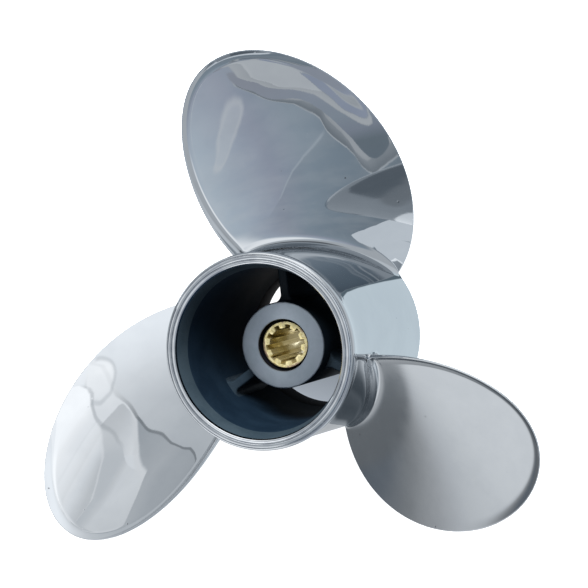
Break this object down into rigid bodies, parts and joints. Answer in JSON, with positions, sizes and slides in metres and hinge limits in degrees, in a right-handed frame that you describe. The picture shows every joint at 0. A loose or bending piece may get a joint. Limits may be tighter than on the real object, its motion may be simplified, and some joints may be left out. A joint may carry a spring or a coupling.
{
  "type": "outboard boat propeller",
  "caption": "Polished stainless outboard propeller with a through-hub exhaust barrel, ribbed inner hub, rubber bushing and splined brass sleeve.",
  "frame": {"origin": "on the shaft axis at the plane of the barrel's front end face", "axes": "+Z aft along the shaft axis, out of the open end of the barrel; +Y along the reference line of blade_1; +X to the right seen from aft with +Y up"},
  "size_m": [0.2217, 0.2218, 0.098],
  "materials": {
    "barrel": "mirror-polished stainless outside, as cast inside",
    "inner_hub": "machined stainless",
    "blade_1": "mirror-polished stainless",
    "blade_2": "mirror-polished stainless",
    "blade_3": "mirror-polished stainless",
    "rib_1": "as-cast stainless",
    "rib_2": "as-cast stainless",
    "rib_3": "as-cast stainless",
    "rubber_bushing": "matt black rubber",
    "spline_sleeve": "machined brass"
  },
  "bodies": {
    "root": {"barrel": "barrel", "inner_hub": "inner_hub", "blade_1": "blade_1", "blade_2": "blade_2", "blade_3": "blade_3", "rib_1": "rib_1", "rib_2": "rib_2", "rib_3": "rib_3", "rubber_bushing": "rubber_bushing", "spline_sleeve": "spline_sleeve"}
  },
  "joints": []
}
